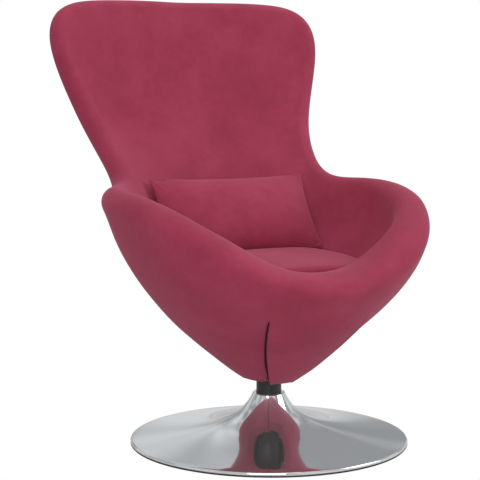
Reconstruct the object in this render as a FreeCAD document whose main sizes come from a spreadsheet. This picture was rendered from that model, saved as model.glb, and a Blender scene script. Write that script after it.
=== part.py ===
"""Upholstered pod chair on a round trumpet base.

Millimetres. +Z is up, the chair faces -Y and its left arm is at +X. The origin lies on the floor,
on the axis of the column.
"""
import FreeCAD, Part
import Sketcher
import math
import os

from FreeCAD import Vector

DOC = FreeCAD.newDocument("pod_chair")

# Driving sizes, in millimetres and degrees
SIZES = (
    # round base
    ("base_diameter", 600.0),
    ("ring_thickness", 4.0),
    ("ring_width", 38.0),
    ("cover_gauge", 1.2),
    ("cover_wall_height", 2.0),
    ("cover_bevel", 5.0),
    ("cover_slope", 6.8),
    ("trumpet_radius", 150.0),
    ("neck_diameter", 68.0),
    ("neck_height", 108.0),
    ("ballast_diameter", 550.0),
    ("ballast_thickness", 5.0),
    ("ballast_bore", 40.0),
    # column and bearing
    ("tube_diameter", 54.0),
    ("tube_wall", 2.0),
    ("tube_top", 232.0),
    ("flange_diameter", 130.0),
    ("flange_thickness", 8.0),
    ("flange_bolt_circle", 100.0),
    ("flange_screw_diameter", 8.0),
    ("spindle_diameter", 32.0),
    ("lower_bush_height", 25.0),
    ("lower_bush_place", 30.0),
    ("upper_bush_height", 37.0),
    ("bush_flange_thickness", 3.0),
    ("thrust_thickness", 2.0),
    ("keeper_diameter", 44.0),
    ("keeper_thickness", 2.5),
    ("keeper_screw_diameter", 8.0),
    ("keeper_screw_length", 20.0),
    ("hub_diameter", 48.0),
    ("hub_height", 12.0),
    # swivel plate and seat frame
    ("plate_side", 200.0),
    ("plate_corner", 20.0),
    ("plate_thickness", 5.0),
    ("plate_hole_pitch", 150.0),
    ("plate_screw_diameter", 8.0),
    ("rail_width", 25.0),
    ("rail_height", 22.0),
    ("rail_wall", 1.5),
    ("cross_rail_width", 25.0),
    ("cross_rail_height", 16.0),
    ("cross_rail_pitch", 220.0),
    ("strap_width", 45.0),
    ("strap_thickness", 2.0),
    ("strap_gap", 15.0),
    # steel bands of the pod
    ("band_thickness", 3.0),
    ("band_width", 22.0),
    ("rim_hoop_width", 10.0),
    ("back_strap_width", 50.0),
    # upholstered pod
    ("pod_clearance", 140.0),
    ("pod_height", 825.0),
    ("pod_width", 700.0),
    ("pod_depth", 770.0),
    ("roll_radius", 36.0),
    ("back_padding", 12.0),
    ("front_relief", 18.0),
    ("cover_layer", 7.0),
    ("frame_depth", 34.0),
    ("floor_padding", 58.0),
    ("slit_angle", 28.0),
    ("slit_rise", 160.0),
    ("slit_width", 2.5),
    ("hem_bore", 60.0),
    ("hem_thickness", 4.0),
    # loose cushions
    ("seat_pad_width", 330.0),
    ("seat_pad_front", 178.0),
    ("seat_pad_back", 130.0),
    ("seat_pad_side", 34.0),
    ("seat_pad_draw_in", 44.0),
    ("seat_pad_crown", 14.0),
    ("seat_pad_corner", 4.0),
    ("pillow_length", 366.0),
    ("pillow_height", 178.0),
    ("pillow_thickness", 84.0),
    ("pillow_draw_in", 16.0),
    ("pillow_lean", 34.0),
    ("pillow_sink", 7.0),
    ("pillow_back", 154.0),
    # clearances
    ("seat_clearance", 0.3),
    ("running_clearance", 0.05),
    ("screw_clearance", 0.25),
)

# Horizontal sections of the pod, as shares of its height, half width and depth: height, half width,
# front reach, centre, rear reach, rear narrowing, front squareness, rear squareness
SECTIONS = (
    (0.000, 0.166, 0.078, 0.000, 0.075, 0.00, 2.0, 2.0),
    (0.030, 0.269, 0.130, 0.000, 0.122, 0.00, 2.0, 2.0),
    (0.073, 0.386, 0.187, 0.000, 0.169, 0.00, 2.0, 2.0),
    (0.145, 0.589, 0.277, 0.003, 0.244, 0.06, 2.0, 2.0),
    (0.218, 0.743, 0.353, 0.006, 0.304, 0.17, 2.1, 2.0),
    (0.291, 0.869, 0.397, 0.013, 0.348, 0.25, 2.3, 2.0),
    (0.376, 0.966, 0.416, 0.029, 0.387, 0.29, 2.4, 2.0),
    (0.461, 1.006, 0.419, 0.052, 0.442, 0.28, 2.4, 2.0),
    (0.558, 1.143, 0.419, 0.058, 0.509, 0.18, 2.4, 2.5),
    (0.655, 1.246, 0.419, 0.058, 0.556, 0.03, 2.4, 2.75),
    (0.776, 1.451, 0.419, 0.058, 0.584, 0.00, 2.4, 2.85),
    (0.897, 1.623, 0.419, 0.058, 0.610, 0.00, 2.4, 2.9),
    (1.018, 1.749, 0.419, 0.058, 0.634, 0.00, 2.4, 2.9),
)

# Rim of the pod from front centre to back centre: plan angle, height share, plan angle at the
# bottom, share of the roll radius
RIM = (
    (-90.0, 0.250, -90.0, 1.00),
    (-72.0, 0.257, -72.0, 1.00),
    (-57.0, 0.288, -57.0, 1.00),
    (-43.0, 0.354, -44.0, 1.00),
    (-26.0, 0.419, -28.0, 0.97),
    (-6.0, 0.446, -12.0, 0.94),
    (15.0, 0.452, 4.0, 0.89),
    (32.0, 0.444, 22.0, 0.83),
    (43.0, 0.485, 38.0, 0.75),
    (52.0, 0.612, 50.0, 0.69),
    (55.5, 0.752, 59.0, 0.64),
    (56.5, 0.861, 66.0, 0.61),
    (60.0, 0.952, 73.0, 0.61),
    (70.0, 0.972, 81.0, 0.61),
    (90.0, 0.965, 90.0, 0.61),
)


def make_sheet():
    """Spreadsheet that holds the driving sizes, one alias for each."""
    sheet = DOC.addObject("Spreadsheet::Sheet", "Sizes")
    for row, (name, value) in enumerate(SIZES, start=1):
        sheet.set(f"A{row}", name)
        sheet.set(f"B{row}", str(value))
        sheet.setAlias(f"B{row}", name)
    DOC.recompute()
    return sheet


SHEET = make_sheet()


def size(name):
    """Value of one driving size."""
    return float(SHEET.get(name))


def expr(text):
    """Expression with each driving size read from the sheet."""
    words = []
    for word in text.replace("(", "( ").replace(")", " )").split():
        words.append(f"Sizes.{word}" if any(word == name for name, _ in SIZES) else word)
    return " ".join(words)


def evaluate(text):
    """Value of an expression made of sizes, numbers and signs."""
    return float(SHEET.evalExpression(expr(text)))


# Heights of the stack inside the column and under the seat
FLANGE_Z = "ring_thickness + ballast_thickness"
THRUST_Z = "tube_top + bush_flange_thickness"
HUB_Z = f"{THRUST_Z} + thrust_thickness"
PLATE_Z = f"{HUB_Z} + hub_height"
RAIL_Z = f"{PLATE_Z} + plate_thickness"
CROSS_Z = f"{RAIL_Z} + rail_height"
STRAP_Z = f"{CROSS_Z} + cross_rail_height"
FLOOR_UNDERSIDE = f"{STRAP_Z} + strap_thickness + seat_clearance"
FLOOR_TOP = f"{FLOOR_UNDERSIDE} + floor_padding"


# Primitives and booleans bound to the sheet

def cylinder(name, radius, height, z, x="0", y="0"):
    """Upright cylinder whose radius, height and place are expressions."""
    solid = DOC.addObject("Part::Cylinder", name)
    solid.setExpression("Radius", expr(radius))
    solid.setExpression("Height", expr(height))
    solid.setExpression(".Placement.Base.x", expr(x))
    solid.setExpression(".Placement.Base.y", expr(y))
    solid.setExpression(".Placement.Base.z", expr(z))
    return solid


def box(name, sides, centre, z):
    """Upright box centred on a point in plan, with its underside at z."""
    solid = DOC.addObject("Part::Box", name)
    for prop, text in zip(("Length", "Width", "Height"), sides):
        solid.setExpression(prop, expr(text))
    solid.setExpression(".Placement.Base.x", expr(f"( {centre[0]} ) - ( {sides[0]} ) / 2"))
    solid.setExpression(".Placement.Base.y", expr(f"( {centre[1]} ) - ( {sides[1]} ) / 2"))
    solid.setExpression(".Placement.Base.z", expr(z))
    return solid


def cut(name, base, tool):
    """First solid with the second one taken out."""
    result = DOC.addObject("Part::Cut", name)
    result.Base = base
    result.Tool = tool
    return result


def fuse(name, *solids):
    """Several solids joined in one."""
    result = DOC.addObject("Part::MultiFuse", name)
    result.Shapes = list(solids)
    return result


def group(name, solids):
    """Equal pieces kept side by side in one node."""
    result = DOC.addObject("Part::Compound", name)
    result.Links = list(solids)
    return result


def ring(name, outer, inner, height, z, x="0", y="0"):
    """Washer, bush or tube: a cylinder with a bore right through."""
    body = cylinder(f"{name}_body", outer, height, z, x, y)
    bore = cylinder(f"{name}_bore", inner, f"( {height} ) + 2", f"( {z} ) - 1", x, y)
    return cut(name, body, bore)


# Sketched pieces

def origin_plane(body, role):
    """One of a body's own origin planes."""
    return next(item for item in body.Origin.OriginFeatures if item.Role == role)


def new_sketch(body, name, role):
    """Sketch on one of the body's origin planes."""
    sketch = body.newObject("Sketcher::SketchObject", name)
    sketch.AttachmentSupport = (origin_plane(body, role), [""])
    sketch.MapMode = "FlatFace"
    return sketch


def bind(sketch, index, text):
    """Bind one constraint of a sketch to the sheet."""
    sketch.setExpression(f"Constraints[{index}]", expr(text))


def add_circle(sketch, radius, x, y):
    """Circle in a sketch, with its radius and centre bound to the sheet."""
    start = [evaluate(radius), evaluate(x), evaluate(y)]
    index = sketch.addGeometry(Part.Circle(Vector(start[1], start[2], 0), Vector(0, 0, 1), start[0]))
    bind(sketch, sketch.addConstraint(Sketcher.Constraint("Radius", index, start[0])), radius)
    for kind, text, value in (("DistanceX", x, start[1]), ("DistanceY", y, start[2])):
        constraint = Sketcher.Constraint(kind, -1, 1, index, 3, value)
        bind(sketch, sketch.addConstraint(constraint), text)


def plate(name, outline, holes, thickness, z):
    """Flat plate padded from one sketch: a disc or a rounded square with round holes."""
    body = DOC.addObject("PartDesign::Body", name)
    sketch = new_sketch(body, f"{name}_outline", "XY_Plane")
    if len(outline) == 1:
        add_circle(sketch, outline[0], "0", "0")
    else:
        add_rounded_square(sketch, *outline)
    for radius, x, y in holes:
        add_circle(sketch, radius, x, y)
    pad = body.newObject("PartDesign::Pad", f"{name}_pad")
    pad.Profile = sketch
    pad.setExpression("Length", expr(thickness))
    body.Tip = pad
    body.setExpression(".Placement.Base.z", expr(z))
    return body


def add_rounded_square(sketch, side, corner):
    """Square centred on the sketch's origin, with a quarter arc at each corner."""
    half = evaluate(side) / 2
    radius = evaluate(corner)
    turn = ((1, 1), (-1, 1), (-1, -1), (1, -1))
    arcs = []
    for index, (sx, sy) in enumerate(turn):
        centre = Vector(sx * (half - radius), sy * (half - radius), 0)
        circle = Part.Circle(centre, Vector(0, 0, 1), radius)
        start = index * math.pi / 2
        arcs.append(sketch.addGeometry(Part.ArcOfCircle(circle, start, start + math.pi / 2)))
        bind(sketch, sketch.addConstraint(
            Sketcher.Constraint("Radius", arcs[-1], radius)), corner)
    ends = [(item.StartPoint, item.EndPoint) for item in (sketch.Geometry[i] for i in arcs)]
    for index in range(4):
        following = (index + 1) % 4
        line = sketch.addGeometry(Part.LineSegment(ends[index][1], ends[following][0]))
        sketch.addConstraint(Sketcher.Constraint("Tangent", arcs[index], 2, line, 1))
        sketch.addConstraint(Sketcher.Constraint("Tangent", line, 2, arcs[following], 1))
        sketch.addConstraint(Sketcher.Constraint("Horizontal" if index % 2 == 0 else "Vertical", line))
    for index, (sx, sy) in ((0, (1, 1)), (2, (-1, -1))):
        for kind, sign in (("DistanceX", sx), ("DistanceY", sy)):
            text = f"( {sign} ) * ( ( {side} ) / 2 - ( {corner} ) )"
            constraint = Sketcher.Constraint(kind, -1, 1, arcs[index], 3, evaluate(text))
            bind(sketch, sketch.addConstraint(constraint), text)


# Round base

def trumpet_geometry():
    """Corner points and centre of the base cover's profile, in the plane of radius and height."""
    slope = math.radians(size("cover_slope"))
    down = Vector(math.cos(slope), -math.sin(slope), 0)
    up = Vector(math.sin(slope), math.cos(slope), 0)
    edge = size("base_diameter") / 2
    shoulder = Vector(edge, size("ring_thickness") + size("cover_wall_height"), 0)
    edge_join = shoulder + Vector(-size("cover_bevel"), 0.8 * size("cover_bevel"), 0)
    neck = Vector(size("neck_diameter") / 2, size("neck_height"), 0)
    arc = size("trumpet_radius")
    # the trumpet's centre stands one radius above the slope and one radius from the neck
    start = edge_join + up * arc - neck
    along = start.dot(down)
    reach = -along + math.sqrt(along * along - start.dot(start) + arc * arc)
    centre = edge_join + up * arc + down * reach
    return {"edge": edge, "shoulder": shoulder, "edge_join": edge_join, "neck": neck,
            "centre": centre, "slope_join": centre - up * arc, "up": up}


def cover_inside(geometry):
    """Points of the cover's inner side, from its foot to its neck.

    Under the trumpet they are corners of straight lines that touch the arc one gauge inside.
    """
    gauge = size("cover_gauge")
    centre, up, neck = geometry["centre"], geometry["up"], geometry["neck"]
    foot = Vector(geometry["edge"] - gauge, size("ring_thickness"), 0)
    shoulder = geometry["shoulder"] + Vector(-gauge, -0.4 * gauge, 0)
    points = [foot, shoulder, geometry["edge_join"] - up * gauge]
    radius = size("trumpet_radius") + gauge
    first = math.atan2(-up.y, -up.x)
    to_neck = neck - centre
    last = math.atan2(to_neck.y, to_neck.x)
    if last > first:
        last -= 2 * math.pi
    step = (last - first) / 3
    for number in range(3):
        swing = first + step * (number + 0.5)
        reach = radius / math.cos(step / 2)
        points.append(centre + Vector(math.cos(swing), math.sin(swing), 0) * reach)
    touch = centre + to_neck * (radius / to_neck.Length)
    rising = Vector(-to_neck.y, to_neck.x, 0)
    height = neck.y - gauge
    points.append(touch + rising * ((height - touch.y) / rising.y))
    return points


def make_base_cover():
    """Thin spun cover: an upright edge, a bevel, a shallow cone and a trumpet up to the neck."""
    geometry = trumpet_geometry()
    gauge, arc = size("cover_gauge"), size("trumpet_radius")
    bore = evaluate("tube_diameter / 2 + screw_clearance")
    centre, up, neck = geometry["centre"], geometry["up"], geometry["neck"]
    shoulder = geometry["shoulder"]
    inner = cover_inside(geometry)
    body = DOC.addObject("PartDesign::Body", "base_cover")
    sketch = new_sketch(body, "base_cover_profile", "XZ_Plane")

    def line(first, last):
        return sketch.addGeometry(Part.LineSegment(first, last))

    def constrain(*arguments):
        return sketch.addConstraint(Sketcher.Constraint(*arguments))

    wall = line(Vector(geometry["edge"], size("ring_thickness"), 0), shoulder)
    bevel = line(shoulder, geometry["edge_join"])
    cone = line(geometry["edge_join"], geometry["slope_join"])
    to_neck, to_slope = neck - centre, up * -1
    trumpet = sketch.addGeometry(Part.ArcOfCircle(
        Part.Circle(centre, Vector(0, 0, 1), arc),
        math.atan2(to_neck.y, to_neck.x), math.atan2(to_slope.y, to_slope.x)))
    lip = line(neck, Vector(bore, neck.y, 0))
    lip_edge = line(Vector(bore, neck.y, 0), Vector(bore, neck.y - gauge, 0))
    lip_under = line(Vector(bore, neck.y - gauge, 0), inner[-1])
    hidden = [line(inner[i + 1], inner[i]) for i in range(len(inner) - 2, -1, -1)]
    under = line(inner[0], Vector(geometry["edge"], size("ring_thickness"), 0))

    constrain("Coincident", under, 2, wall, 1)
    constrain("Coincident", wall, 2, bevel, 1)
    constrain("Coincident", bevel, 2, cone, 1)
    constrain("Tangent", cone, 2, trumpet, 2)
    chain = [lip, lip_edge, lip_under] + hidden + [under]
    constrain("Coincident", trumpet, 1, lip, 1)
    for first, second in zip(chain, chain[1:]):
        constrain("Coincident", first, 2, second, 1)
    constrain("Vertical", wall)
    constrain("Horizontal", lip)
    constrain("Vertical", lip_edge)
    bind(sketch, constrain("Radius", trumpet, arc), "trumpet_radius")
    bind(sketch, constrain("DistanceX", -1, 1, wall, 1, geometry["edge"]), "base_diameter / 2")
    bind(sketch, constrain("DistanceY", -1, 1, wall, 1, size("ring_thickness")), "ring_thickness")
    bind(sketch, constrain("DistanceY", wall, 1, wall, 2, size("cover_wall_height")),
         "cover_wall_height")
    bind(sketch, constrain("DistanceX", bevel, 2, bevel, 1, size("cover_bevel")), "cover_bevel")
    bind(sketch, constrain("DistanceY", bevel, 1, bevel, 2, 0.8 * size("cover_bevel")),
         "0.8 * cover_bevel")
    bind(sketch, constrain("DistanceX", -1, 1, lip, 1, neck.x), "neck_diameter / 2")
    bind(sketch, constrain("DistanceY", -1, 1, lip, 1, neck.y), "neck_height")
    bind(sketch, constrain("DistanceX", -1, 1, lip, 2, bore), "tube_diameter / 2 + screw_clearance")
    bind(sketch, constrain("DistanceY", lip_edge, 2, lip_edge, 1, gauge), "cover_gauge")
    slope = constrain("Angle", cone, math.pi - math.radians(size("cover_slope")))
    sketch.setExpression(f"Constraints[{slope}]", "180 deg - Sizes.cover_slope * 1 deg")

    turned = body.newObject("PartDesign::Revolution", "base_cover_turned")
    turned.Profile = sketch
    turned.ReferenceAxis = (origin_plane(body, "Z_Axis"), [""])
    turned.Angle = 360
    body.Tip = turned
    return body


def make_floor_ring():
    """Plastic ring that the edge of the base stands on."""
    return ring("floor_ring", "base_diameter / 2", "base_diameter / 2 - ring_width",
                "ring_thickness", "0")


def square_places(half_pitch):
    """Four places at the corners of a square, as pairs of expressions."""
    return [(f"( {sx} ) * ( {half_pitch} )", f"( {sy} ) * ( {half_pitch} )")
            for sx, sy in ((1, 1), (-1, 1), (-1, -1), (1, -1))]


FLANGE_PLACES = square_places("flange_bolt_circle / 2 * 0.70711")
PLATE_PLACES = square_places("plate_hole_pitch / 2")


def make_ballast_plate():
    """Heavy steel disc under the cover, bored for the column's keeper and its four screws."""
    holes = [("ballast_bore / 2", "0", "0")]
    holes += [("flange_screw_diameter / 2 + screw_clearance", x, y) for x, y in FLANGE_PLACES]
    return plate("ballast_plate", ("ballast_diameter / 2",), holes, "ballast_thickness",
                 "ring_thickness")


def make_column():
    """Upright tube welded to a round flange, which is drilled for the four screws."""
    bore = "tube_diameter / 2 - tube_wall"
    holes = [(bore, "0", "0")]
    holes += [("flange_screw_diameter / 2 + running_clearance", x, y) for x, y in FLANGE_PLACES]
    flange = plate("column_flange", ("flange_diameter / 2",), holes, "flange_thickness", FLANGE_Z)
    tube = ring("column_tube", "tube_diameter / 2", bore, f"tube_top - ( {FLANGE_Z} )", FLANGE_Z)
    return fuse("column", flange, tube)


def screw(name, diameter, length, head_height, x, y, head_z, up):
    """Cap screw: a shank and a wider head, the head below or above the shank."""
    shank_z = f"( {head_z} ) + ( {head_height} )" if up else f"( {head_z} ) - ( {length} )"
    head = cylinder(f"{name}_head", f"0.8 * ( {diameter} )", head_height, head_z, x, y)
    shank = cylinder(f"{name}_shank", f"( {diameter} ) / 2", length, shank_z, x, y)
    return fuse(name, head, shank)


def make_flange_screws():
    """Four screws through the ballast plate into the column's flange, heads underneath."""
    head = "ring_thickness - 1"
    screws = [screw(f"flange_screw_{index}", "flange_screw_diameter",
                    "ballast_thickness + flange_thickness", head, x, y, "1", True)
              for index, (x, y) in enumerate(FLANGE_PLACES)]
    return group("flange_screws", screws)


BUSH_RADIUS = "tube_diameter / 2 - tube_wall - running_clearance"
BUSH_BORE = "spindle_diameter / 2 + running_clearance"


def make_column_bushes():
    """Plastic bushes at the foot and in the mouth of the tube, and the washer on the upper one."""
    lower = ring("lower_bush", BUSH_RADIUS, BUSH_BORE, "lower_bush_height", "lower_bush_place")
    sleeve = cylinder("upper_bush_sleeve", BUSH_RADIUS, "upper_bush_height",
                      "tube_top - upper_bush_height")
    flange = cylinder("upper_bush_flange", "tube_diameter / 2", "bush_flange_thickness", "tube_top")
    bore = cylinder("upper_bush_bore", BUSH_BORE, "upper_bush_height + bush_flange_thickness + 2",
                    "tube_top - upper_bush_height - 1")
    upper = cut("upper_bush", fuse("upper_bush_blank", sleeve, flange), bore)
    washer = ring("thrust_washer", "tube_diameter / 2 - 1", f"{BUSH_BORE} + 0.2",
                  "thrust_thickness", THRUST_Z)
    return group("column_bushes", [lower, upper, washer])


# Seat mechanism

SPINDLE_Z = "lower_bush_place - 0.5"


def make_spindle():
    """Round spindle with its collar, from the foot of the lower bush up through the plate."""
    body = cylinder("spindle_body", "spindle_diameter / 2", f"( {RAIL_Z} ) - ( {SPINDLE_Z} )",
                    SPINDLE_Z)
    collar = cylinder("spindle_collar", "hub_diameter / 2", "hub_height", HUB_Z)
    bore = cylinder("spindle_bore", "keeper_screw_diameter / 2 + running_clearance",
                    "keeper_screw_length + 2", f"{SPINDLE_Z} - 1")
    return cut("spindle", fuse("spindle_blank", body, collar), bore)


def make_spindle_keeper():
    """Screw with a fixed washer under the spindle, which keeps the seat from lifting off."""
    head_height = "5"
    washer_z = f"{SPINDLE_Z} - keeper_thickness"
    washer = cylinder("keeper_washer", "keeper_diameter / 2", "keeper_thickness", washer_z)
    pin = screw("keeper_screw", "keeper_screw_diameter", "keeper_screw_length + keeper_thickness",
                head_height, "0", "0", f"{washer_z} - {head_height}", True)
    return fuse("spindle_keeper", washer, pin)


def make_swivel_plate():
    """Square plate under the seat frame, bored for the spindle and its four screws."""
    holes = [("spindle_diameter / 2 + running_clearance", "0", "0")]
    holes += [("plate_screw_diameter / 2 + screw_clearance", x, y) for x, y in PLATE_PLACES]
    return plate("swivel_plate", ("plate_side", "plate_corner"), holes, "plate_thickness", PLATE_Z)


def make_plate_screws():
    """Four screws up through the swivel plate into the seat rails."""
    head = "5"
    screws = [screw(f"plate_screw_{index}", "plate_screw_diameter", "plate_thickness + rail_wall + 6",
                    head, x, y, f"( {PLATE_Z} ) - {head}", True)
              for index, (x, y) in enumerate(PLATE_PLACES)]
    return group("plate_screws", screws)


# Form of the pod

def smooth(value):
    """Step from 0 to 1 with level ends."""
    value = min(max(value, 0.0), 1.0)
    return value * value * (3 - 2 * value)


def level_with_floor(height, floor, blend):
    """Larger of a height and a floor, joined by a fillet twice the blend wide."""
    if height - floor > blend:
        return height
    share = max(0.0, (height - floor + blend) / (2 * blend))
    return floor + blend * share * share


def spline_value(rows, place):
    """Point of the uniform cubic B-spline that is led by rows, at a place counted in rows."""
    index = min(int(place), len(rows) - 2)
    t = place - index
    weights = ((1 - t) ** 3, 3 * t ** 3 - 6 * t ** 2 + 4, 3 * t + 3 * t ** 2 - 3 * t ** 3 + 1, t ** 3)

    def row(number):
        if number < 0:
            return [2 * a - b for a, b in zip(rows[0], rows[1])]
        if number >= len(rows):
            return [2 * a - b for a, b in zip(rows[-1], rows[-2])]
        return rows[number]

    near = [row(index + step) for step in (-1, 0, 1, 2)]
    return [sum(w * r[k] for w, r in zip(weights, near)) / 6 for k in range(len(rows[0]))]


def full_rim():
    """Rim stations all the way round, from front centre by the left arm and back to the front."""
    mirrored = [(180 - a, height, 180 - b, roll) for a, height, b, roll in RIM[-2:0:-1]]
    return list(RIM) + mirrored


def rim_at(turn):
    """Plan angle, height, bottom angle and roll radius of the rim, at a turn from 0 to 1."""
    stations = full_rim()
    count = len(stations)
    spread = 360.0 / count
    shifts = [(a + 90 - spread * i, height, b + 90 - spread * i, roll)
              for i, (a, height, b, roll) in enumerate(stations)]
    place = (turn % 1.0) * count
    index = int(place)
    around = [shifts[(index + step) % count] for step in (-1, 0, 1, 2)]
    values = spline_value(around, 1 + place - index)
    along = 360 * turn - 90
    return (values[0] + along, size("pod_clearance") + size("pod_height") * values[1],
            values[2] + along, size("roll_radius") * values[3])


def section_at(height):
    """Values of the horizontal section at one height of the pod."""
    share = (height - size("pod_clearance")) / size("pod_height")
    low, high = 0.0, float(len(SECTIONS) - 1)
    for _ in range(40):
        middle = (low + high) / 2
        if spline_value(SECTIONS, middle)[0] < share:
            low = middle
        else:
            high = middle
    return spline_value(SECTIONS, (low + high) / 2)[1:]


def wall_point(angle, height):
    """Point of the outer surface at a plan angle and a height.

    Each section is two half superellipses that share a width: the front one reaches forward, the
    rear one back, and the rear half narrows with the square of its sine.
    """
    half, front, centre, rear, narrow, front_square, rear_square = section_at(height)
    cosine, sine = math.cos(math.radians(angle)), math.sin(math.radians(angle))
    square = front_square if sine < 0 else rear_square
    power = 2 + (square - 2) * (1 - (1 - abs(sine)) ** 2)
    radius = (abs(cosine) ** power + abs(sine) ** power) ** (-1 / power)
    reach = front + centre if sine < 0 else rear - centre
    x = size("pod_width") / 2 * half * cosine * radius * (1 - narrow * max(sine, 0) ** 2)
    y = size("pod_depth") * (centre + reach * sine * radius)
    return Vector(x, y, height)


def outer_point(turn, rise):
    """Point of the outer surface, rise running from 0 at the hem to 1 at the rim's seam."""
    rim_angle, rim_height, foot_angle, _ = rim_at(turn)
    angle = foot_angle + (rim_angle - foot_angle) * max(rise, 0) ** 1.3
    foot = size("pod_clearance")
    return wall_point(angle, foot + (rim_height - foot) * rise)


def outward(turn, rise):
    """Unit normal of the outer surface, pointing out of the pod."""
    step = 0.002
    low, high = max(rise - step, 0.0), rise + step
    across = outer_point(turn + step, rise) - outer_point(turn - step, rise)
    upward = outer_point(turn, high) - outer_point(turn, low)
    return across.cross(upward).normalize()


def rise_at(turn, height):
    """Share of the way from hem to seam at which the outer surface has a height."""
    foot = size("pod_clearance")
    return (height - foot) / (rim_at(turn)[1] - foot)


def inside(turn, rise, depth):
    """Point at a depth under the outer surface."""
    return outer_point(turn, rise) - outward(turn, rise) * depth


def wall_thickness(turn, rise):
    """Full thickness of the padded wall: padded a little at the back, relieved at the front."""
    angle, _, _, roll = rim_at(turn)
    sine = math.sin(math.radians(angle))
    extra = size("back_padding") if sine > 0 else -size("front_relief")
    return 2 * roll + extra * sine * sine * smooth((1 - rise) / 0.5)


def frame_depth(turn, rise):
    """Depth of the pad's rear face: under the cover at the seam, deeper where the frame runs."""
    shallow = size("cover_layer") + size("seat_clearance")
    return shallow + (size("frame_depth") - shallow) * smooth((1 - rise) / 0.3)


def roll_point(turn, angle):
    """Point on the rolled rim, from the seam at 0 degrees to the inner wall at 180."""
    seam = outer_point(turn, 1.0)
    normal = outward(turn, 1.0)
    step = 0.002
    along = (outer_point(turn + step, 1.0) - outer_point(turn - step, 1.0)).normalize()
    upward = normal.cross(along)
    if upward.dot(seam - outer_point(turn, 1.0 - step)) < 0:
        upward = upward * -1
    radius = rim_at(turn)[3]
    swing = math.radians(angle)
    return seam - normal * radius + (normal * math.cos(swing) + upward * math.sin(swing)) * radius


ROLL_STEP = 45
HALF_TURNS = 12
HALF = [0.5 * (step + 0.5) / HALF_TURNS for step in range(HALF_TURNS)]


def centred(points):
    """Row of points with one more at each end, level with the end on the plane of symmetry."""
    first, last = points[0], points[-1]
    return [Vector(0, first.y, first.z)] + points + [Vector(0, last.y, last.z)]


def turn_in_rise(turn):
    """Share at which the padding turns in under the floor."""
    height = evaluate(FLOOR_UNDERSIDE) - size("floor_padding")
    return rise_at(turn, height)


def paced(turn, share, steps):
    """Share of the way down the inner wall, so that the first rows are spaced as on the roll."""
    _, rim_height, _, radius = rim_at(turn)
    length = (rim_height - size("pod_clearance")) * (1 - turn_in_rise(turn))
    first = radius * math.radians(ROLL_STEP) * steps / length
    return share * (first + (1 - first) * share)


def pad_front_rows():
    """Rows of the pad's visible face: over the roll, down the inner wall and in over the floor."""
    floor = evaluate(FLOOR_TOP)
    rows = [centred([roll_point(turn, angle) for turn in HALF]) for angle in range(0, 180, ROLL_STEP)]
    steps = 6
    for step in range(steps + 1):
        row = []
        for turn in HALF:
            rise = 1 + (turn_in_rise(turn) - 1) * paced(turn, step / steps, steps)
            point = inside(turn, rise, wall_thickness(turn, rise))
            point.z = level_with_floor(point.z, floor, 25)
            row.append(point)
        rows.append(centred(row))
    for point in rows[-1]:
        point.z = floor
    return rows


def pad_rear_rows():
    """Rows of the pad's hidden face, from the seam down to the underside of the floor."""
    underside = evaluate(FLOOR_UNDERSIDE)
    steps = 4
    rows = []
    for step in range(steps + 1):
        row = []
        for turn in HALF:
            rise = 1 + (turn_in_rise(turn) - 1) * step / steps
            point = inside(turn, rise, frame_depth(turn, rise))
            point.z = level_with_floor(point.z, underside, 25)
            row.append(point)
        rows.append(centred(row))
    for point in rows[-1]:
        point.z = underside
    return rows


def row_curve(points):
    """Quadratic curve led by a row of points, or the line between two."""
    if len(points) == 2:
        return Part.LineSegment(points[0], points[1])
    spans = len(points) - 2
    curve = Part.BSplineCurve()
    curve.buildFromPolesMultsKnots(points, [3] + [1] * (spans - 1) + [3],
                                   [float(i) for i in range(spans + 1)], False, 2)
    return curve


def strip(first, second):
    """Ruled face between two rows of points."""
    surface = Part.BSplineSurface()
    if len(first) == 2:
        surface.buildFromPolesMultsKnots([first, second], [2, 2], [2, 2], [0.0, 1.0], [0.0, 1.0],
                                         False, False, 1, 1)
        return surface.toShape()
    spans = len(first) - 2
    surface.buildFromPolesMultsKnots([first, second], [2, 2], [3] + [1] * (spans - 1) + [3],
                                     [0.0, 1.0], [float(i) for i in range(spans + 1)],
                                     False, False, 1, 2)
    return surface.toShape()


def strips(rows):
    """Ruled faces between the rows of a grid, each next to the following one."""
    return [strip(rows[index], rows[index + 1]) for index in range(len(rows) - 1)]


def mirrored(shape):
    """Copy of a shape on the other side of the plane of symmetry."""
    return shape.mirror(Vector(0, 0, 0), Vector(1, 0, 0))


def solid_from(faces):
    """Closed solid sewn from its faces."""
    shell = Part.Shell(faces)
    shell.sewShape()
    shell.fix(0.01, 0.01, 0.01)
    solid = Part.Solid(shell)
    if solid.Volume < 0:
        solid.reverse()
    return solid


def layer(front_rows, rear_rows, ends):
    """Solid between two grids of points, closed along its first and last rows.

    Ends is 2 for a band with an end at its first and last column, 1 for a half band whose last
    column lies on the plane of symmetry, and 0 for half a hoop with both columns there. A half is
    completed by its mirror image.
    """
    faces = strips(front_rows) + strips(rear_rows)
    faces += [strip(front_rows[i], rear_rows[i]) for i in (0, -1)]
    for index in (0, -1)[:ends]:
        front, rear = [[row[index] for row in rows] for rows in (front_rows, rear_rows)]
        faces += strips(list(zip(front, rear)))
    if ends < 2:
        faces += [mirrored(face) for face in faces]
    return solid_from(faces)


def feature(name, shape):
    """Part feature that carries a finished shape."""
    result = DOC.addObject("Part::Feature", name)
    result.Shape = shape
    result.Placement = FreeCAD.Placement()
    return result


# Steel bands, hidden between the pad and the cover

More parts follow.
